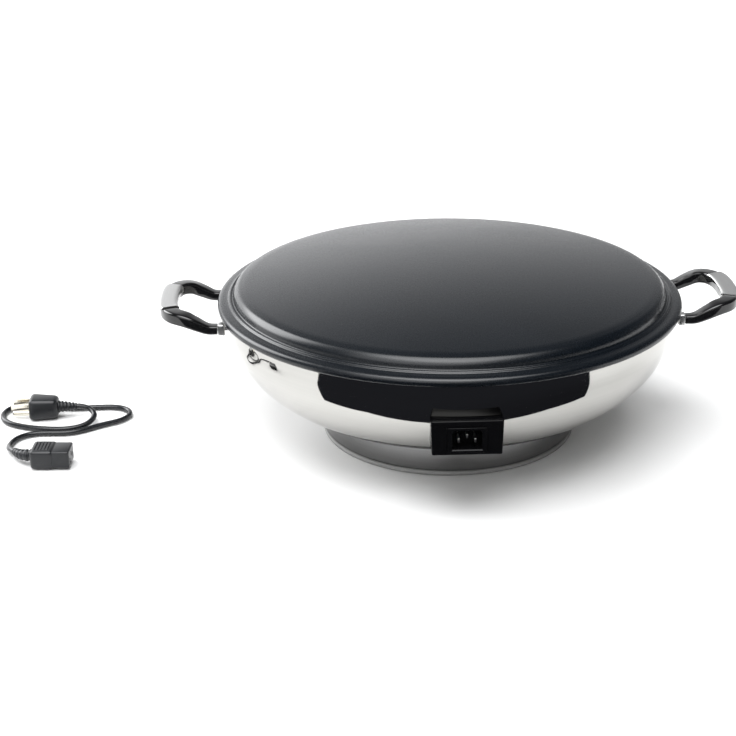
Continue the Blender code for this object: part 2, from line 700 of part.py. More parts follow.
def make_inlet():
    depth = 0.05
    middle = (HOUSING_TOP + HOUSING_BOTTOM) / 2
    tall = HOUSING_TOP - HOUSING_BOTTOM
    centre = (0.0, INLET_FACE + depth / 2, middle)
    housing = block("inlet_housing", (HOUSING_WIDTH, depth, tall), centre, BLACK)
    for vertex in housing.data.vertices:
        if vertex.co.z < 0:
            vertex.co.x *= 0.968
    add_bevel(housing, 0.0012)
    hollow = block(
        "cut_housing_hollow",
        (HOUSING_WIDTH - 2 * HOUSING_WALL - 0.001, depth, tall - 2 * HOUSING_WALL),
        (0.0, INLET_FACE + HOUSING_WALL + depth / 2, middle), cutter=True,
    )
    cut(housing, hollow)
    for name, side in (("left", -1), ("right", 1)):
        boss = block(
            f"join_boss_{name}", (0.0075, depth, 0.0075),
            (side * BOSS_SPREAD, INLET_FACE + 0.001 + depth / 2, BOSS_HEIGHT), cutter=True,
        )
        cut(housing, boss, "UNION")
    wall = [(BOWL_RADIUS + GAP, 0.128)] + [(r + GAP, z - GAP) for r, z in bowl_curve(0.0)]
    wall = [(0.0, 0.128)] + wall + [(0.0, wall[-1][1])]
    cut(housing, turned("cut_housing_wall", wall, cutter=True))
    slot = (SOCKET_BODY[0] + 2 * GAP, 0.02, SOCKET_BODY[2] + 2 * GAP)
    cut(housing, block("cut_housing_slot", slot, (0.0, INLET_FACE, INLET_HEIGHT), cutter=True))
    drill(housing, "cut_housing_bores",
          [(Vector((side * BOSS_SPREAD, -0.2, BOSS_HEIGHT)), (0, 1, 0), 0.0017, 0.014) for side in (-1, 1)])
    for name, side in (("left", -1), ("right", 1)):
        place = Vector((side * BOSS_SPREAD, -0.191, BOSS_HEIGHT))
        screw_piece(f"inlet_screw_{name}", place, (0, -1, 0), (0.0034, 0.0022), (0.0014, 0.014))
    make_socket()


def make_socket():
    front = INLET_FACE - GAP - BEZEL[1]
    body_centre = INLET_FACE - GAP - 0.0004 + SOCKET_BODY[1] / 2
    bezel = block(
        "inlet_socket", BEZEL, (0.0, INLET_FACE - GAP - BEZEL[1] / 2, INLET_HEIGHT), BLACK, bevel=0.0004
    )
    body = block("join_socket_body", SOCKET_BODY, (0.0, body_centre, INLET_HEIGHT), cutter=True)
    cut(bezel, body, "UNION")
    recess = block(
        "cut_socket_recess", (SOCKET_RECESS[0], 2 * SOCKET_RECESS[1], SOCKET_RECESS[2]),
        (0.0, front, INLET_HEIGHT), cutter=True,
    )
    add_bevel(recess, 0.0012, 1)
    cut(bezel, recess)
    for name, (across, up) in PIN_OFFSETS.items():
        centre = (across, (PIN_FRONT + PIN_BACK) / 2, INLET_HEIGHT + up)
        length = PIN_BACK - PIN_FRONT
        block(f"inlet_pin_{name}", (0.002, length, 0.004), centre, BRASS, bevel=0.0005)
        slit = block(
            f"cut_slit_{name}", (0.002 + 2 * GAP, length + 0.02, 0.004 + 2 * GAP), centre, cutter=True
        )
        cut(bezel, slit)


def make_connector():
    turn = Matrix.Rotation(math.radians(CONNECTOR_TURN), 4, "Z")
    place = Matrix.Translation(CONNECTOR_BACK) @ turn

    def put(thing, along, across=0.0, up=0.0):
        thing.location = (0, 0, 0)
        thing.matrix_world = place @ Matrix.Translation((along, across, up))
        return thing

    body = put(block("lead_connector", (0.0215, 0.0262, 0.0182), (0, 0, 0), CORD, bevel=0.003), 0.01075)
    nose = put(block("join_nose", (0.017, 0.0238, 0.0162), (0, 0, 0), bevel=0.0015, cutter=True), 0.0275)
    cut(body, nose, "UNION")
    for name, (across, up) in PIN_OFFSETS.items():
        cut(body, put(block(f"cut_contact_{name}", (0.03, 0.003, 0.005), (0, 0, 0), cutter=True),
                      0.0365, across, up))
    relief = catmull_rom(CONNECTOR_RELIEF, 0.0035)
    taper = [1.0 - 0.42 * index / (len(relief) - 1) for index in range(len(relief))]
    tube("lead_connector_relief", relief, 0.006, CORD, taper)


def make_plug():
    """The plug lies inside the coil and points along -X."""
    back = Vector(PLUG_BACK)
    middle = back - Vector((PLUG_LENGTH / 2, 0, 0))
    plug = block("lead_plug", (PLUG_LENGTH, PLUG_WIDTH, PLUG_HEIGHT), middle, CORD, bevel=0.004)
    for vertex in plug.data.vertices:
        if vertex.co.x > 0:
            vertex.co.y *= 0.78
            vertex.co.z *= 0.86
    face = back - Vector((PLUG_LENGTH, 0, 0))
    sink = 0.004
    pin_length = BLADE_LENGTH + sink
    along = face.x - (BLADE_LENGTH - sink) / 2
    for name, across, size in (
        ("live", -0.0064, (0.0015, 0.0063)), ("neutral", 0.0064, (0.0015, 0.0079)),
    ):
        centre = (along, face.y + across, face.z + 0.0025)
        block(f"plug_pin_{name}", (pin_length, *size), centre, BRASS, bevel=0.0003)
        slot = (pin_length + 2 * GAP, size[0] + 2 * GAP, size[1] + 2 * GAP)
        cut(plug, block(f"cut_plug_{name}", slot, centre, cutter=True))
    centre = Vector((along, face.y, face.z - 0.0062))
    half = Vector((pin_length / 2, 0, 0))
    tube("plug_pin_earth", [centre - half, centre + half], 0.0024, BRASS)
    drill(plug, "cut_plug_earth", [(centre, (1, 0, 0), 0.0028, pin_length + 2 * GAP)])
    start = Vector(CORD_ROUTE[-1]) - Vector((GAP, 0, 0))
    relief = [start.lerp(back + Vector((GAP, 0, 0)), index / 5) for index in range(6)]
    taper = [0.58 + 0.42 * index / 5 for index in range(6)]
    tube("lead_plug_relief", relief, 0.006, CORD, taper)


def make_cord():
    """The cord leaves each strain relief straight, so both ends get a short straight stretch."""
    places = catmull_rom(CORD_ROUTE, CORD_STEP)
    first, second, before_last, last = (Vector(CORD_ROUTE[index]) for index in (0, 1, -2, -1))
    places.insert(1, first + CORD_RADIUS * (second - first).normalized())
    places.insert(-1, last + CORD_RADIUS * (before_last - last).normalized())
    tube("lead_cord", places, CORD_RADIUS, CORD)


def main():
    make_plate()
    make_bowl()
    make_foot()
    make_bottom_cover()
    make_posts()
    make_reflector()
    make_element()
    make_thermostat()
    make_wires()
    for side_name, side in (("left", -1), ("right", 1)):
        make_handle(side_name, side)
    make_inlet()
    make_connector()
    make_plug()
    make_cord()


main()
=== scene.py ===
"""The electric griddle's looks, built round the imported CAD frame.

All lengths are metres in the row frame: origin under the foot, +Z up, the inlet faces -Y.
"""
import json
import math

import bmesh
import bpy
from mathutils import Matrix, Vector

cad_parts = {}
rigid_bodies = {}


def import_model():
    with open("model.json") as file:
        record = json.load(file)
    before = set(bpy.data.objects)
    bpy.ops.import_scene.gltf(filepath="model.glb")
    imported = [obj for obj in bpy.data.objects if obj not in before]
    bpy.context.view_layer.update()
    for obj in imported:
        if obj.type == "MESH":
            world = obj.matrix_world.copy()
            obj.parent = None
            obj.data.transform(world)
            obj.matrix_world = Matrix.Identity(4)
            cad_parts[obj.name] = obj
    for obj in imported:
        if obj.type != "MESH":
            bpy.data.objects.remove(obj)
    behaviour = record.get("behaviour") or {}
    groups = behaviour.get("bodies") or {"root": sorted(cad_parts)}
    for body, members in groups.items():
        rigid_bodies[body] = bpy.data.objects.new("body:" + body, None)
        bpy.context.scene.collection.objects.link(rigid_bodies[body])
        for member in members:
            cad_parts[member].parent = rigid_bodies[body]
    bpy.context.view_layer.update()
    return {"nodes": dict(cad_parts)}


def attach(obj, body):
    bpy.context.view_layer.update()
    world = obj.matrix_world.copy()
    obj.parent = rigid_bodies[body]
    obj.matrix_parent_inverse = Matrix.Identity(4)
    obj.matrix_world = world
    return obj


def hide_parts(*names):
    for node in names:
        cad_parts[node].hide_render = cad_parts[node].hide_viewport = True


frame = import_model()

# The same sizes as in the CAD: plate, bowl, handle arms, inlet and lead
DOME_RADIUS, DOME_EDGE, DOME_RISE, PLATE_THICKNESS = 0.190, 0.146, 0.013, 0.0042
BOWL_RADIUS, CURVE_TOP, CURVE_DEPTH, CURVE_INNER = 0.209, 0.120, 0.100, 0.060
SHEET = 0.001
ARM_SPREAD, ARM_HEIGHT = 0.046, 0.1185
GRIP_PATH = (
    (0.2133, ARM_SPREAD, ARM_HEIGHT),
    (0.222, ARM_SPREAD, 0.1190),
    (0.232, ARM_SPREAD, 0.1235),
    (0.242, 0.0445, 0.1278),
    (0.252, 0.0385, 0.1290),
    (0.2580, 0.027, 0.1290),
    (0.2598, 0.0135, 0.1290),
    (0.260, 0.0, 0.1290),
)
GRIP_SCALE = (0.72, 0.76, 0.92, 1.0, 1.0, 1.0, 1.0, 1.0)
GRIP_WIDTH, GRIP_HEIGHT, GRIP_POWER = 0.0152, 0.0112, 5.5
CAP_REACH = 0.031
INLET_Y, INLET_Z = -0.2133, 0.0785
# Each pin's place across and up from the inlet's middle
PINS = {"neutral": (-0.007, -0.002), "earth": (0.0, 0.002), "live": (0.007, -0.002)}
CONNECTOR_BACK, CONNECTOR_TURN = (-0.3862, -0.0735, 0.00975), -3.0
PLUG_BACK, PLUG_LENGTH, BLADE_REACH = (-0.3765, 0.035, 0.011), 0.028, 0.021
CORD_RADIUS = 0.0026
CORD_ROUTE = (
    (-0.4040, -0.0610, 0.0080),
    (-0.4095, -0.0525, 0.0066),
    (-0.4128, -0.0425, 0.0040),
    (-0.4128, -0.0315, 0.0027),
    (-0.4088, -0.0205, 0.0027),
    (-0.4003, -0.0127, 0.0027),
    (-0.3890, -0.0095, 0.0027),
    (-0.3775, -0.0095, 0.0027),
    (-0.3660, -0.0098, 0.0027),
    (-0.3550, -0.0075, 0.0027),
    (-0.3452, -0.0020, 0.0027),
    (-0.3360, 0.0045, 0.0027),
    (-0.3260, 0.0105, 0.0027),
    (-0.3155, 0.0170, 0.0027),
    (-0.3085, 0.0270, 0.0027),
    (-0.3090, 0.0385, 0.0027),
    (-0.3165, 0.0465, 0.0027),
    (-0.3275, 0.0500, 0.0027),
    (-0.3400, 0.0500, 0.0027),
    (-0.3530, 0.0495, 0.0027),
    (-0.3660, 0.0500, 0.0027),
    (-0.3785, 0.0525, 0.0027),
    (-0.3905, 0.0560, 0.0027),
    (-0.4025, 0.0590, 0.0027),
    (-0.4140, 0.0590, 0.0027),
    (-0.4240, 0.0540, 0.0027),
    (-0.4300, 0.0445, 0.0027),
    (-0.4310, 0.0330, 0.0027),
    (-0.4270, 0.0225, 0.0027),
    (-0.4190, 0.0140, 0.0027),
    (-0.4085, 0.0080, 0.0027),
    (-0.3970, 0.0035, 0.0027),
    (-0.3850, 0.0005, 0.0027),
    (-0.3725, -0.0010, 0.0027),
    (-0.3605, 0.0005, 0.0027),
    (-0.3500, 0.0050, 0.0034),
    (-0.3425, 0.0130, 0.0052),
    (-0.3410, 0.0225, 0.0076),
    (-0.3465, 0.0310, 0.0098),
    (-0.3550, 0.0348, 0.0109),
    (-0.3590, 0.0350, 0.0110),
)

# ---------------------------------------------------------------- camera and studio

HORIZON_STRENGTH = 2.3
FLOOR_Z, FLOOR_REACH = -0.0004, 12.0
# Where the painted dark reflection in the polished bowl ends: points along the reflection-only sheet's
# edge, and its far side
DARK_Z, DARK_REACH, DARK_FRONT = 0.0002, 1.4, -3.0
DARK_EDGE = (
    (-DARK_REACH, -0.75), (-0.40, -0.26), (-0.30, -0.21), (-0.20, -0.168), (-0.13, -0.204),
    (-0.05, -0.217), (0.07, -0.218), (0.13, -0.212), (0.20, -0.187), (0.27, -0.223), (0.38, -0.281),
    (DARK_REACH, -0.80),
)
# Each soft box: direction, cosine where it starts, cosine where it is full, strength
SOFT_BOXES = (
    ((-0.03, -0.25, 0.96), 0.86, 0.94, 5.2),
    ((-0.70, 0.47, 0.51), 0.90, 0.97, 7.5),
    ((-0.25, -0.66, 0.70), 0.80, 0.93, 2.0),
)


def add_camera():
    data = bpy.data.cameras.new("view")
    data.lens, data.sensor_width = 83.15, 36.0
    data.clip_end = 60.0
    camera = bpy.data.objects.new("view", data)
    bpy.context.scene.collection.objects.link(camera)
    turn = (
        Matrix.Rotation(math.radians(-1.5), 4, "Z")
        @ Matrix.Rotation(math.radians(67.88), 4, "X")
        @ Matrix.Rotation(math.radians(-0.76), 4, "Z")
    )
    camera.matrix_world = Matrix.Translation((-0.1151, -1.4925, 0.665)) @ turn
    bpy.context.scene.camera = camera


def ramp(nodes, stops):
    """A colour ramp with stops (position, value), each value a grey level or a colour."""
    node = nodes.new("ShaderNodeValToRGB")
    elements = node.color_ramp.elements
    while len(elements) < len(stops):
        elements.new(0.5)
    for element, (place, value) in zip(elements, stops):
        element.position = place
        colour = value if isinstance(value, tuple) else (value, value, value)
        element.color = (*colour, 1.0)
    return node


def maths(nodes, links, operation, first, second=None):
    """The output of a maths node, whose inputs are numbers or sockets."""
    node = nodes.new("ShaderNodeMath")
    node.operation = operation
    for socket, value in zip(node.inputs, (first, second)):
        if value is None:
            continue
        if isinstance(value, (int, float)):
            socket.default_value = value
        else:
            links.new(value, socket)
    return node.outputs[0]


def add_world():
    """Soft boxes, and a bright horizon behind the table that fades upwards and to the right."""
    world = bpy.data.worlds.new("studio")
    bpy.context.scene.world = world
    world.use_nodes = True
    nodes, links = world.node_tree.nodes, world.node_tree.links
    background = nodes["Background"]
    direction = nodes.new("ShaderNodeTexCoord").outputs["Generated"]
    split = nodes.new("ShaderNodeSeparateXYZ")
    links.new(direction, split.inputs[0])
    height = ramp(nodes, (
        (0.0, 1.0), (0.09, 0.90), (0.16, 0.78), (0.23, 0.70), (0.32, 0.56),
        (0.41, 0.42), (0.48, 0.27), (0.55, 0.15), (0.62, 0.08), (0.75, 0.05),
    ))
    links.new(split.outputs["Z"], height.inputs[0])
    side = ramp(nodes, (
        (0.0, 0.8), (0.30, 1.0), (0.44, 0.95), (0.50, 0.74),
        (0.58, 0.50), (0.66, 0.34), (0.80, 0.13), (1.0, 0.10),
    ))
    depth = ramp(nodes, ((0.0, 0.22), (0.30, 0.20), (0.45, 0.12), (0.52, 0.20), (0.62, 1.0), (1.0, 1.0)))
    for axis, shade in (("X", side), ("Y", depth)):
        centred = maths(nodes, links, "MULTIPLY_ADD", split.outputs[axis], 0.5)
        centred.node.inputs[2].default_value = 0.5
        links.new(centred, shade.inputs[0])
    horizon = maths(nodes, links, "MULTIPLY", height.outputs[0], side.outputs[0])
    horizon = maths(nodes, links, "MULTIPLY", horizon, depth.outputs[0])
    horizon = maths(nodes, links, "MULTIPLY", horizon, HORIZON_STRENGTH)
    total = horizon
    for aim, start, full, power in SOFT_BOXES:
        towards = nodes.new("ShaderNodeVectorMath")
        towards.operation = "DOT_PRODUCT"
        links.new(direction, towards.inputs[0])
        towards.inputs[1].default_value = Vector(aim).normalized()
        box = nodes.new("ShaderNodeMapRange")
        box.interpolation_type = "SMOOTHSTEP"
        box.inputs["From Min"].default_value, box.inputs["From Max"].default_value = start, full
        box.inputs["To Min"].default_value, box.inputs["To Max"].default_value = 0.0, power
        links.new(towards.outputs["Value"], box.inputs["Value"])
        total = maths(nodes, links, "ADD", total, box.outputs[0])
    links.new(total, background.inputs["Strength"])
    background.inputs["Color"].default_value = (0.985, 0.99, 1.0, 1.0)


def matt(name, colour):
    material = bpy.data.materials.new(name)
    material.use_nodes = True
    shader = material.node_tree.nodes["Principled BSDF"]
    shader.inputs["Base Color"].default_value = (*colour, 1.0)
    shader.inputs["Roughness"].default_value = 1.0
    shader.inputs["Specular IOR Level"].default_value = 0.0
    return material


def stage_sheet(name, corners, height, material, reflected_only=False):
    """A flat sheet that belongs to the studio, not to the griddle."""
    mesh = bpy.data.meshes.new(name)
    mesh.from_pydata([(x, y, height) for x, y in corners], [], [tuple(range(len(corners)))])
    mesh.materials.append(material)
    sheet = bpy.data.objects.new(name, mesh)
    bpy.context.scene.collection.objects.link(sheet)
    if reflected_only:
        sheet.visible_camera = sheet.visible_diffuse = sheet.visible_shadow = False


def add_studio():
    view = bpy.context.scene.view_settings
    view.view_transform, view.look = "Standard", "None"
    add_world()
    far = FLOOR_REACH
    table = ((-far, -far), (far, -far), (far, far), (-far, far))
    stage_sheet("floor", table, FLOOR_Z, matt("table_paper", (0.84, 0.84, 0.835)))
    room = DARK_EDGE + ((DARK_REACH, DARK_FRONT), (-DARK_REACH, DARK_FRONT))
    # A near-black sheet on the floor that only reflections see, not the camera, diffuse light or shadows: a
    # painted dark reflection across the polished bowl's front
    stage_sheet("dark_reflection_card", room, DARK_Z, matt("painted_dark_reflection", (0.011, 0.0115, 0.0140)), True)


# ---------------------------------------------------------------- materials


def finish(name, colour, rough, metallic=0.0, grain=900.0, spread=0.06, bump=0.0, tint=0.12,
           stretch=(1.0, 1.0, 1.0), streaks=None, coat=0.0, specular=0.5):
    """A Principled finish whose colour, roughness and height vary over the surface.

    grain is the fine detail's frequency per metre, spread the roughness it adds and takes away, and tint
    the same for the colour. bump is its height in metres. stretch scales the coordinates along X, Y and
    Z for a brushed or drawn surface. streaks draws the detail as fine rings about Z, at that frequency.
    """
    material = bpy.data.materials.new(name)
    material.use_nodes = True
    nodes, links = material.node_tree.nodes, material.node_tree.links
    shader = nodes["Principled BSDF"]
    shader.inputs["Metallic"].default_value = metallic
    shader.inputs["IOR"].default_value = 1.5
    shader.inputs["Specular IOR Level"].default_value = specular
    if coat:
        shader.inputs["Coat Weight"].default_value = coat
        shader.inputs["Coat Roughness"].default_value = 0.04
    coordinates = nodes.new("ShaderNodeTexCoord").outputs["Object"]
    mapping = nodes.new("ShaderNodeMapping")
    mapping.inputs["Scale"].default_value = stretch
    links.new(coordinates, mapping.inputs["Vector"])
    fine_vector = mapping.outputs[0]
    if streaks:
        split = nodes.new("ShaderNodeSeparateXYZ")
        links.new(coordinates, split.inputs[0])
        across = maths(nodes, links, "MULTIPLY", split.outputs["X"], split.outputs["X"])
        along = maths(nodes, links, "MULTIPLY", split.outputs["Y"], split.outputs["Y"])
        radius = maths(nodes, links, "SQRT", maths(nodes, links, "ADD", across, along))
        level = maths(nodes, links, "ADD", maths(nodes, links, "MULTIPLY", radius, 0.7), split.outputs["Z"])
        join = nodes.new("ShaderNodeCombineXYZ")
        slow = 0.012
        for socket, value, scale in (
            ("X", split.outputs["X"], slow), ("Y", split.outputs["Y"], slow), ("Z", level, 1.0),
        ):
            links.new(maths(nodes, links, "MULTIPLY", value, scale), join.inputs[socket])
        fine_vector = join.outputs[0]
    fine = nodes.new("ShaderNodeTexNoise")
    fine.inputs["Scale"].default_value = streaks or grain
    fine.inputs["Detail"].default_value = 3.0
    links.new(fine_vector, fine.inputs["Vector"])
    broad = nodes.new("ShaderNodeTexNoise")
    broad.inputs["Scale"].default_value = 22.0
    broad.inputs["Detail"].default_value = 4.0
    links.new(coordinates, broad.inputs["Vector"])
    mixed = maths(nodes, links, "MULTIPLY_ADD", fine.outputs["Fac"], 0.65)
    links.new(maths(nodes, links, "MULTIPLY", broad.outputs["Fac"], 0.35), mixed.node.inputs[2])
    levels = nodes.new("ShaderNodeMapRange")
    levels.inputs["From Min"].default_value, levels.inputs["From Max"].default_value = 0.3, 0.7
    levels.inputs["To Min"].default_value = max(0.01, rough - spread / 2)
    levels.inputs["To Max"].default_value = rough + spread / 2
    links.new(mixed, levels.inputs["Value"])
    links.new(levels.outputs[0], shader.inputs["Roughness"])
    low = tuple(c * (1.0 - tint) for c in colour)
    high = tuple(min(1.0, c * (1.0 + tint)) for c in colour)
    shade = ramp(nodes, ((0.3, low), (0.7, high)))
    links.new(mixed, shade.inputs[0])
    links.new(shade.outputs[0], shader.inputs["Base Color"])
    if bump:
        relief = nodes.new("ShaderNodeBump")
        relief.inputs["Strength"].default_value = 1.0
        relief.inputs["Distance"].default_value = bump
        links.new(fine.outputs["Fac"], relief.inputs["Height"])
        links.new(relief.outputs[0], shader.inputs["Normal"])
    return material


NON_STICK = finish("non_stick_coating", (0.0032, 0.0050, 0.0075), 0.27, grain=1500.0, spread=0.07,
                   bump=0.00001, tint=0.2)
POLISHED = finish("polished_steel", (0.50, 0.494, 0.473), 0.045, 1.0, streaks=420.0, spread=0.035,
                  tint=0.03)
# The foot band is polished steel like the bowl but with its colour darkened: painted shade for the shaded
# floor under the bowl that it reflects
SHADED_FOOT_STEEL = finish("foot_steel_painted_shade", (0.20, 0.20, 0.20), 0.07, 1.0, streaks=520.0, spread=0.05, tint=0.05)
BRUSHED = finish("brushed_steel", (0.60, 0.60, 0.595), 0.30, 1.0, grain=420.0, spread=0.12, tint=0.08,
                 stretch=(1.0, 0.05, 1.0), bump=0.000004)
CAP_STEEL = finish("cap_steel", (0.66, 0.66, 0.655), 0.33, 1.0, grain=1400.0, spread=0.10, tint=0.06,
                   stretch=(1.0, 0.04, 1.0), bump=0.000006)
GLOSS = finish("gloss_black", (0.006, 0.006, 0.0065), 0.07, grain=700.0, spread=0.05, tint=0.25, coat=0.3)
INLET_BLACK = finish("inlet_black", (0.0025, 0.0025, 0.003), 0.16, grain=700.0, spread=0.05, tint=0.2,
                     specular=0.12)
MOULDED = finish("lead_moulding", (0.0075, 0.0085, 0.0105), 0.36, grain=1800.0, spread=0.1,
                 bump=0.00003, tint=0.2)
SHEATH = finish("cord_rubber", (0.0065, 0.0075, 0.0095), 0.28, spread=0.12, bump=0.00001, tint=0.25)
FOOT_RUBBER = finish("grey_rubber", (0.30, 0.30, 0.295), 0.6, grain=1200.0, spread=0.15, bump=0.00004)
NICKEL = finish("nickelled_brass", (0.78, 0.74, 0.64), 0.2, 1.0, grain=1500.0, spread=0.1, tint=0.05)
PIN_METAL = finish("pin_metal", (0.55, 0.54, 0.52), 0.30, 1.0, grain=1500.0, spread=0.1, tint=0.04)
ALUMINISED = finish("aluminised_steel", (0.64, 0.645, 0.655), 0.36, 1.0, grain=160.0, spread=0.2, tint=0.1)
CERAMIC = finish("ceramic", (0.80, 0.78, 0.71), 0.55, grain=800.0, spread=0.15, bump=0.00003, tint=0.06)
WOOL = finish("mineral_wool", (0.52, 0.46, 0.30), 0.95, grain=500.0, spread=0.08, bump=0.0006, tint=0.25)
OXIDE = finish("element_sheath", (0.10, 0.088, 0.078), 0.48, 0.8, grain=260.0, spread=0.2,
               bump=0.00002, tint=0.3)
WIRES = {
    "brown": finish("wire_brown", (0.16, 0.06, 0.025), 0.45, tint=0.15),
    "blue": finish("wire_blue", (0.03, 0.08, 0.35), 0.45, tint=0.15),
    "green": finish("wire_green_yellow", (0.1, 0.32, 0.05), 0.45, tint=0.3),
}

# ---------------------------------------------------------------- mesh helpers


def piece(name, mesh, material, body, replaced, angle=32):
    """A visible piece on a body, in place of the CAD nodes named in replaced."""
    mesh.shade_smooth()
    mesh.set_sharp_from_angle(angle=math.radians(angle))
    mesh.materials.append(material)
    thing = bpy.data.objects.new(name, mesh)
    bpy.context.scene.collection.objects.link(thing)
    settle(thing, body, replaced)
    return thing


def settle(thing, body, replaced):
    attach(thing, body)
    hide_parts(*replaced)


def to_mesh(shape, name):
    bmesh.ops.recalc_face_normals(shape, faces=shape.faces)
    mesh = bpy.data.meshes.new(name)
    shape.to_mesh(mesh)
    shape.free()
    return mesh


def lathe(name, profile, closed=False, steps=224):
    """A profile of (radius, height) turned about Z, as a mesh."""
    shape = bmesh.new()
    turns = [2 * math.pi * i / steps for i in range(steps)]
    rings = []
    for radius, height in profile:
        if radius < 1e-6:
            rings.append([shape.verts.new((0.0, 0.0, height))])
            continue
        rings.append([
            shape.verts.new((radius * math.cos(turn), radius * math.sin(turn), height)) for turn in turns
        ])
    pairs = list(zip(rings, rings[1:])) + ([(rings[-1], rings[0])] if closed else [])
    for low, high in pairs:
        for i in range(steps):
            j = (i + 1) % steps
            corners = [low[i % len(low)], low[j % len(low)], high[j % len(high)], high[i % len(high)]]
            unique = list(dict.fromkeys(corners))
            if len(unique) > 2:
                shape.faces.new(unique)
    return to_mesh(shape, name)


def rounded(corners, count=5):
    """Corners of a profile, each (x, y, fillet radius), with the fillets drawn as arcs. Ends stay."""
    points = []
    last = len(corners) - 1
    for index, (x, y, fillet) in enumerate(corners):
        here = Vector((x, y))
        if fillet <= 0 or index in (0, last):
            points.append(here)
            continue
        before = (Vector(corners[index - 1][:2]) - here).normalized()
        after = (Vector(corners[index + 1][:2]) - here).normalized()
        half = before.angle(after) / 2
        reach = fillet / math.tan(half)
        start, end = here + before * reach, here + after * reach
        centre = here + (before + after).normalized() * (fillet / math.sin(half))
        for step in range(count + 1):
            blend = start.lerp(end, step / count) - centre
            points.append(centre + blend.normalized() * fillet)
    return [(p.x, p.y) for p in points]


def catmull_rom(points, step):
    """Points about step apart on a smooth curve through the given ones."""
    route = [Vector(point) for point in points]
    route = [2 * route[0] - route[1], *route, 2 * route[-1] - route[-2]]
    fine = []
    for before, start, end, after in zip(route, route[1:], route[2:], route[3:]):
        for part in range(20):
            t = part / 20
            fine.append(
                0.5 * (2 * start + (end - before) * t
                       + (2 * before - 5 * start + 4 * end - after) * t**2
                       + (3 * start - before - 3 * end + after) * t**3)
            )
    fine.append(route[-2])
    length = sum((b - a).length for a, b in zip(fine, fine[1:]))
    count = max(2, round(length / step))
    even, run, wanted = [fine[0]], 0.0, length / count
    for a, b in zip(fine, fine[1:]):
        stretch = (b - a).length
        while run + stretch >= wanted * len(even) and len(even) < count:
            even.append(a.lerp(b, (wanted * len(even) - run) / stretch))
        run += stretch
    even.append(fine[-1])
    return even


def rounded_box(name, size, bevel, segments=4, taper=None):
    """A box with rounded edges, about the origin. taper scales the far ends along X: (y, z)."""
    shape = bmesh.new()
    bmesh.ops.create_cube(shape, size=1.0)
    bmesh.ops.scale(shape, vec=size, verts=shape.verts)
    if taper:
        for vertex in shape.verts:
            if vertex.co.x < 0:
                vertex.co.y *= taper[0]
                vertex.co.z *= taper[1]
    bmesh.ops.bevel(
        shape, geom=shape.edges[:], offset=bevel, segments=segments, profile=0.5, affect="EDGES",
        clamp_overlap=True,
    )
    return to_mesh(shape, name)


def sweep(name, path, sections):
    """Sections, each a list of (across, up) points, carried along a path and kept upright."""
    shape = bmesh.new()
    rings = []
    for index, (place, section) in enumerate(zip(path, sections)):
        ahead = path[min(index + 1, len(path) - 1)] - path[max(index - 1, 0)]
        side = ahead.cross(Vector((0, 0, 1))).normalized()
        up = side.cross(ahead).normalized()
        rings.append([shape.verts.new(place + side * a + up * u) for a, u in section])
    count = len(rings[0])
    for low, high in zip(rings, rings[1:]):
        for i in range(count):
            j = (i + 1) % count
            shape.faces.new((low[i], low[j], high[j], high[i]))
    shape.faces.new(list(reversed(rings[0])))
    shape.faces.new(rings[-1])
    return to_mesh(shape, name)


def boolean(mesh, cutters, operation="DIFFERENCE"):
    """The mesh with the cutter meshes taken away from it, or joined to it."""
    base = bpy.data.objects.new("base", mesh)
    scene = bpy.context.scene.collection.objects
    scene.link(base)
    helpers = []
    for cutter in cutters:
        helper = bpy.data.objects.new("cutter", cutter)
        scene.link(helper)
        modifier = base.modifiers.new("cut", "BOOLEAN")
        modifier.operation, modifier.object, modifier.solver = operation, helper, "EXACT"
        helpers.append(helper)
    graph = bpy.context.evaluated_depsgraph_get()
    result = bpy.data.meshes.new_from_object(base.evaluated_get(graph))
    result.name = mesh.name
    for helper in [base, *helpers]:
        data = helper.data
        bpy.data.objects.remove(helper, do_unlink=True)
        if data.users == 0:
            bpy.data.meshes.remove(data)
    return result


def moved(mesh, place):
    """The mesh put at a place, given as a point or as a matrix."""
    mesh.transform(place if isinstance(place, Matrix) else Matrix.Translation(place))
    return mesh


# ---------------------------------------------------------------- plate, bowl and foot


def make_plate():
    def dome(radius):
        return DOME_EDGE + DOME_RISE * (1.0 - (radius / DOME_RADIUS) ** 2)

    top = [(DOME_RADIUS * i / 40, dome(DOME_RADIUS * i / 40)) for i in range(40)]
    rim = [
        (DOME_RADIUS, 0.146), (0.1955, 0.1443), (0.1990, 0.1405), (0.2003, 0.1362), (0.2014, 0.1354),
        (0.2028, 0.1362), (0.2042, 0.1357), (0.2052, 0.1344), (0.2075, 0.1339), (0.2110, 0.1334),
        (0.2136, 0.1322), (0.2149, 0.1298), (0.2145, 0.1273), (0.2134, 0.1260), (0.2126, 0.1268),
        (0.2122, 0.1303),
    ]
    rim = [(p.x, p.y) for p in catmull_rom([Vector(p) for p in rim], 0.0006)]
    under = rounded([
        (0.2122, 0.1303, 0), (0.2121, 0.1307, 0.0003), (0.2055, 0.1307, 0.0006), (0.2053, 0.1246, 0.0005),
        (0.2028, 0.1246, 0.0005), (0.2012, 0.1315, 0.003), (0.1965, 0.139, 0.004),
        (0.188, dome(0.188) - PLATE_THICKNESS, 0),
    ], 4)[1:]
    inside = [(0.188 * i / 20, dome(0.188 * i / 20) - PLATE_THICKNESS) for i in range(19, -1, -1)]
    mesh = lathe("griddle_plate", top + rim + under + inside, steps=256)
    piece("griddle_plate", mesh, NON_STICK, "plate", ["cooking_plate"], 50)


def bowl_curve(inset, count=48):
    reach, depth = BOWL_RADIUS - CURVE_INNER - inset, CURVE_DEPTH - inset
    last = math.acos((0.104 - CURVE_INNER) / reach)
    angles = [last * i / count for i in range(count + 1)]
    return [(CURVE_INNER + reach * math.cos(a), CURVE_TOP - depth * math.sin(a)) for a in angles]


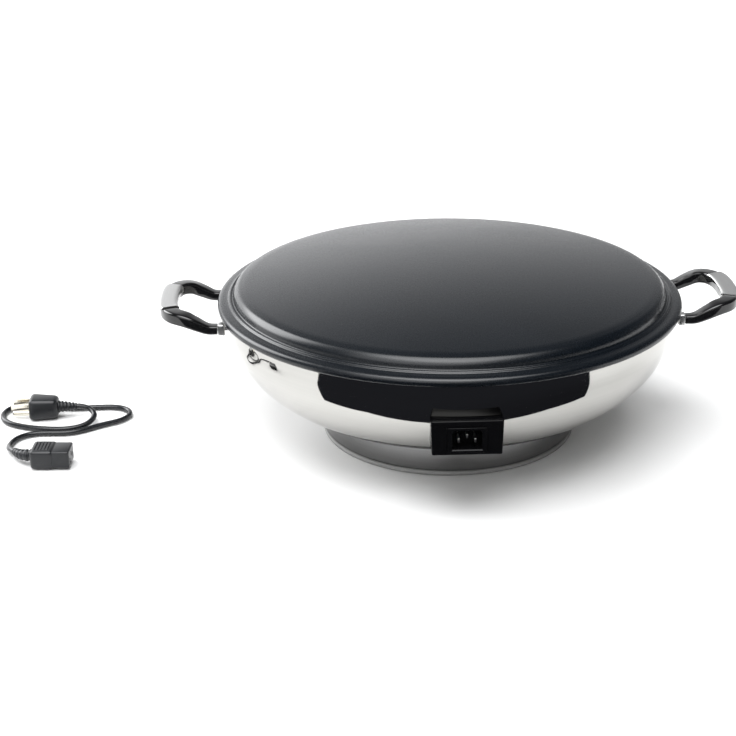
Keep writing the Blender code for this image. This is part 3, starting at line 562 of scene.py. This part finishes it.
def make_bowl():
    rim = [(0.2080, 0.1301), (0.2086, 0.1303), (0.2104, 0.1303), (0.2109, 0.1299), (0.2107, 0.1293),
           (0.2095, 0.1288), (BOWL_RADIUS, 0.1278)]
    outer = rim + [(BOWL_RADIUS, 0.1265 - 0.0013 * i) for i in range(5)] + bowl_curve(0.0)
    inner = bowl_curve(SHEET) + [(0.090, 0.0254), (0.090, 0.0244)]
    profile = list(reversed(inner[:-2])) + [(BOWL_RADIUS - SHEET, 0.1290)] + outer + [inner[-1], inner[-2]]
    mesh = lathe("bowl_wall", profile, closed=True, steps=256)
    opening = moved(rounded_box("opening", (0.032, 0.06, 0.024), 0.001, 1), (0, -0.19, INLET_Z))
    mesh = boolean(mesh, [opening])
    piece("bowl_wall", mesh, POLISHED, "body", ["bowl_shell"], 40)


def make_foot():
    band = rounded([
        (0.1170, 0.0150, 0), (0.1170, 0.0271, 0.0003), (0.1180, 0.0271, 0.0003), (0.1180, 0.0060, 0.0008),
        (0.1176, 0.0046, 0.0003), (0.1170, 0.0046, 0.0002), (0.1170, 0.0149, 0),
    ], 4)
    mesh = lathe("foot_skirt", band, closed=True)
    piece("foot_skirt", mesh, SHADED_FOOT_STEEL, "body", ["foot_band"], 45)
    ring = rounded([
        (0.1138, 0.005, 0), (0.1138, 0.009, 0.0004), (0.1167, 0.009, 0.0004), (0.1167, 0.0042, 0.0002),
        (0.1184, 0.0042, 0.0007), (0.1193, 0.0021, 0.0012), (0.1184, 0.0, 0.0008), (0.1138, 0.0, 0.0006),
        (0.1138, 0.0049, 0),
    ], 4)
    mesh = lathe("foot_pad", ring, closed=True)
    piece("foot_pad", mesh, FOOT_RUBBER, "body", ["foot_ring"], 45)


# ---------------------------------------------------------------- handles


def grip_stations(side, step):
    """Points along a grip, from its front arm to its rear one, and the section's scale at each."""
    half = [Vector(place) for place in GRIP_PATH]
    places = [Vector((p.x, -p.y, p.z)) for p in half] + list(reversed(half[:-1]))
    scales = list(GRIP_SCALE) + list(reversed(GRIP_SCALE[:-1]))
    fine = catmull_rom(places, step)
    knots = [min(range(len(fine)), key=lambda i: (fine[i] - place).length) for place in places]
    even = []
    for (start, end), (low, high) in zip(zip(knots, knots[1:]), zip(scales, scales[1:])):
        even += [low + (high - low) * index / (end - start) for index in range(end - start)]
    even.append(scales[-1])
    return [Vector((side * p.x, p.y, p.z)) for p in fine], even


def superellipse(width, height, power, count):
    points = []
    for i in range(count):
        angle = 2 * math.pi * i / count
        c, s = math.cos(angle), math.sin(angle)
        points.append((
            width / 2 * math.copysign(abs(c) ** (2 / power), c),
            height / 2 * math.copysign(abs(s) ** (2 / power), s),
        ))
    return points


def make_handle(label, side):
    path, scales = grip_stations(side, 0.002)
    sections = [superellipse(GRIP_WIDTH * s, GRIP_HEIGHT * s, GRIP_POWER, 36) for s in scales]
    mesh = sweep(f"grip_{label}", path, sections)
    piece(f"grip_{label}", mesh, GLOSS, "body", [f"handle_grip_{label}"], 50)
    make_cap(label, side)
    for arm_name, arm in (("front", -1), ("rear", 1)):
        box = rounded_box("ferrule", (0.0064, 0.0095, 0.0106), 0.0013, 4)
        moved(box, (side * 0.2098, arm * ARM_SPREAD, ARM_HEIGHT))
        piece(f"ferrule_{label}_{arm_name}", box, BRUSHED, "body",
              [f"handle_ferrule_{label}_{arm_name}"])


def make_cap(label, side):
    """A folded steel strip over the top and the outer side of the crossbar."""
    path, scales = grip_stations(side, 0.0012)
    keep = [(p, s) for p, s in zip(path, scales) if abs(p.y) <= CAP_REACH]
    clear, sheet = 0.0003, 0.0009
    # The section's lowest point outside, and its lowest point on the side of the fingers
    outside_low, inside_low = -0.0022, 0.0042
    sections = []
    for _, scale in keep:
        outlines = []
        for grow in (clear + sheet, clear):
            wide, tall = (GRIP_WIDTH + 2 * grow) * scale, (GRIP_HEIGHT + 2 * grow) * scale
            outline = [q for q in superellipse(wide, tall, GRIP_POWER, 64) if q[1] > outside_low * scale]
            outline.sort(key=lambda q: -math.atan2(q[1] + 0.004, -q[0]))
            outlines.append([q for q in outline if q[0] > 0 or q[1] > inside_low * scale])
        count = min(len(outline) for outline in outlines)
        outer, inner = (outline[:count] for outline in outlines)
        sections.append(outer + inner[::-1])
    mesh = sweep(f"cap_{label}", [p for p, _ in keep], sections)
    piece(f"cap_{label}", mesh, CAP_STEEL, "body", [f"handle_cap_{label}"], 40)


# ---------------------------------------------------------------- inlet


def make_inlet():
    wide, low, high, depth = 0.061, 0.0645, 0.0955, 0.05
    middle = (low + high) / 2
    shape = bmesh.new()
    bmesh.ops.create_cube(shape, size=1.0)
    bmesh.ops.scale(shape, vec=(wide, depth, high - low), verts=shape.verts)
    for vertex in shape.verts:
        if vertex.co.z < 0:
            vertex.co.x *= 0.968
    bmesh.ops.bevel(shape, geom=shape.edges[:], offset=0.0013, segments=5, profile=0.5, affect="EDGES")
    box = moved(to_mesh(shape, "inlet_box"), (0, INLET_Y + depth / 2, middle))
    hollow = rounded_box("hollow", (wide - 0.006, depth, high - low - 0.005), 0.001, 1)
    moved(hollow, (0, INLET_Y + 0.0025 + depth / 2, middle))
    clear = 0.0003
    curve = [(radius + clear, height - clear) for radius, height in bowl_curve(0.0)]
    wall = lathe("wall", [(0.0, 0.128), (BOWL_RADIUS + clear, 0.128), *curve, (0.0, 0.024)], steps=256)
    slot = moved(rounded_box("slot", (0.0281, 0.02, 0.0206), 0.0004, 1), (0, INLET_Y, INLET_Z))
    mesh = boolean(box, [hollow, wall, slot])
    piece("inlet_box", mesh, INLET_BLACK, "body", ["inlet_housing"])
    make_socket()


def make_socket():
    """The inlet's bezel and body, with a recess that flares towards the front, and its pins."""
    clear, bezel_thick = 0.0003, 0.0012
    front = INLET_Y - clear - bezel_thick
    bezel = moved(rounded_box("socket", (0.033, bezel_thick, 0.0225), 0.0005, 3),
                  (0, front + bezel_thick / 2, INLET_Z))
    body = moved(rounded_box("socket_body", (0.0275, 0.027, 0.020), 0.0004, 1),
                 (0, INLET_Y - 0.0007 + 0.0135, INLET_Z))
    shape = bmesh.new()
    half_w, low, high, chamfer = 0.01225, -0.0085, 0.0085, 0.0022
    outline = [(-half_w, low), (half_w, low), (half_w, high - chamfer), (half_w - chamfer, high),
               (-half_w + chamfer, high), (-half_w, high - chamfer)]
    lip, ahead, deep = 0.0008, 0.0012, 0.0155
    rows = []
    for y, grow in ((-ahead, lip + ahead), (lip, 0.0), (deep, 0.0)):
        wider, taller = 1 + grow / half_w, 1 + grow / high
        rows.append([shape.verts.new((x * wider, front + y, INLET_Z + z * taller)) for x, z in outline])
    for near, far in zip(rows, rows[1:]):
        for i in range(len(outline)):
            j = (i + 1) % len(outline)
            shape.faces.new((near[i], near[j], far[j], far[i]))
    shape.faces.new(rows[0])
    shape.faces.new(rows[-1][::-1])
    recess = to_mesh(shape, "recess")
    mesh = boolean(boolean(bezel, [body], "UNION"), [recess])
    piece("inlet_socket_body", mesh, INLET_BLACK, "body", ["inlet_socket"])
    for name, (across, up) in PINS.items():
        pin = rounded_box(f"pin_{name}", (0.002, 0.0325, 0.004), 0.0006, 3)
        moved(pin, (across, -0.19425, INLET_Z + up))
        piece(f"pin_{name}", pin, PIN_METAL, "body", [f"inlet_pin_{name}"])


# ---------------------------------------------------------------- lead


def make_cord():
    data = bpy.data.curves.new("cord_sheath", "CURVE")
    data.dimensions = "3D"
    data.bevel_depth, data.bevel_resolution, data.use_fill_caps = CORD_RADIUS, 5, True
    spline = data.splines.new("POLY")
    points = catmull_rom(CORD_ROUTE, 0.0025)
    spline.points.add(len(points) - 1)
    for point, place in zip(spline.points, points):
        point.co = (*place, 1.0)
    spline.use_smooth = True
    data.materials.append(SHEATH)
    cord = bpy.data.objects.new("cord_sheath", data)
    bpy.context.scene.collection.objects.link(cord)
    settle(cord, "lead", ["lead_cord"])
    return cord, sum((b - a).length for a, b in zip(points, points[1:]))


def ribbed_relief(name, route, wide, narrow, ribs, replaced):
    """A tapered strain relief with flex slots round it."""
    path = catmull_rom(route, 0.0004)
    around, slot_depth = 28, 0.0009
    turns = [2 * math.pi * k / around for k in range(around)]
    sections = []
    for i in range(len(path)):
        t = i / (len(path) - 1)
        wave = math.sin(math.pi * 2 * ribs * t - math.pi / 2)
        radius = wide + (narrow - wide) * t - slot_depth * max(0.0, wave) ** 0.6 * (0.04 < t < 0.97)
        sections.append([(radius * math.cos(turn), radius * math.sin(turn)) for turn in turns])
    return piece(name, sweep(name, path, sections), MOULDED, "lead", [replaced], 60)


def make_connector():
    place = Matrix.Translation(CONNECTOR_BACK) @ Matrix.Rotation(math.radians(CONNECTOR_TURN), 4, "Z")
    body = moved(rounded_box("body", (0.0215, 0.0262, 0.0182), 0.0034, 5), (0.01075, 0, 0))
    nose = moved(rounded_box("nose", (0.017, 0.0238, 0.0162), 0.0016, 4), (0.0275, 0, 0))
    slits = [
        moved(rounded_box("slit", (0.03, 0.003, 0.005), 0.0004, 1), (0.0365, across, up))
        for across, up in PINS.values()
    ]
    grooves = [
        moved(rounded_box("groove", (0.0011, 0.0170, 0.004), 0.0004, 1), (0.0045 + 0.003 * i, 0, 0.0102))
        for i in range(5)
    ]
    mesh = moved(boolean(boolean(body, [nose], "UNION"), slits + grooves), place)
    connector = piece("connector_body", mesh, MOULDED, "lead", ["lead_connector"], 35)
    route = (
        (-0.3866, -0.0735, 0.00975), (-0.3925, -0.0725, 0.0096), (-0.3985, -0.0685, 0.0090),
        (-0.4037, -0.0614, 0.0081),
    )
    return [connector, ribbed_relief("connector_relief", route, 0.006, 0.0036, 5, "lead_connector_relief")]


def make_plug():
    """The plug lies inside the coil and points along -X."""
    back = Vector(PLUG_BACK)
    mesh = rounded_box("plug_body", (PLUG_LENGTH, 0.024, 0.0218), 0.0045, 5, taper=(0.78, 0.86))
    middle = back.x - PLUG_LENGTH - 0.0065
    clear, half = 0.0003, BLADE_REACH / 2
    # Each blade's place across, its thickness and its height
    blades = {"live": (-0.0064, 0.0015, 0.0063), "neutral": (0.0064, 0.0015, 0.0079)}
    made, cutters = [], []
    for name, (across, thick, tall) in blades.items():
        centre = (middle, back.y + across, back.z + 0.0025)
        blade = moved(rounded_box(f"blade_{name}", (BLADE_REACH, thick, tall), 0.0005, 3), centre)
        made.append(piece(f"blade_{name}", blade, NICKEL, "lead", [f"plug_pin_{name}"]))
        room = (BLADE_REACH + 2 * clear, thick + 2 * clear, tall + 2 * clear)
        cutters.append(moved(rounded_box("slot", room, 0.0002, 1), centre))
    across_x = Matrix.Translation((middle, back.y, back.z - 0.0062)) @ Matrix.Rotation(-math.pi / 2, 4, "Y")
    rod = rounded([(0, -half, 0), (0.0024, -half, 0), (0.0024, half, 0.0018), (0, half, 0)], 6)
    pin = moved(lathe("blade_earth", rod, steps=28), across_x)
    made.append(piece("blade_earth", pin, NICKEL, "lead", ["plug_pin_earth"]))
    bore = [(0, -half - clear), (0.0028, -half - clear), (0.0028, half), (0, half)]
    cutters.append(moved(lathe("hole", bore, steps=28), across_x))
    middle_of_body = Matrix.Translation(back - Vector((PLUG_LENGTH / 2, 0, 0)))
    mesh = boolean(moved(mesh, middle_of_body @ Matrix.Rotation(math.pi, 4, "Z")), cutters)
    made.append(piece("plug_body", mesh, MOULDED, "lead", ["lead_plug"], 35))
    route = (
        (-0.3762, 0.035, 0.011), (-0.3703, 0.035, 0.011), (-0.3645, 0.035, 0.011), (-0.3593, 0.035, 0.011),
    )
    made.append(ribbed_relief("plug_relief", route, 0.006, 0.0035, 5, "lead_plug_relief"))
    return made


def make_lead():
    cord, length = make_cord()
    others = make_connector() + make_plug()


# ---------------------------------------------------------------- inside


def dress_inside():
    """Materials for the CAD nodes that stay visible, by the first key that a node's name starts with."""
    kinds = {
        "reflector_dish": ALUMINISED, "bottom_cover": ALUMINISED, "insulation_ring": WOOL,
        "heating_element": OXIDE, "thermostat_capsule": CERAMIC, "element_bush": CERAMIC,
        "earth_": NICKEL, "wire_neutral": WIRES["blue"], "wire_earth": WIRES["green"],
        "wire_": WIRES["brown"],
    }
    for name, node in frame["nodes"].items():
        if node.hide_render:
            continue
        material = next((kinds[key] for key in kinds if name.startswith(key)), BRUSHED)
        for slot in node.material_slots:
            slot.material = material


add_camera()
make_lead()
add_studio()
make_plate()
make_bowl()
make_foot()
for handle_label, handle_side in (("left", -1), ("right", 1)):
    make_handle(handle_label, handle_side)
make_inlet()
dress_inside()
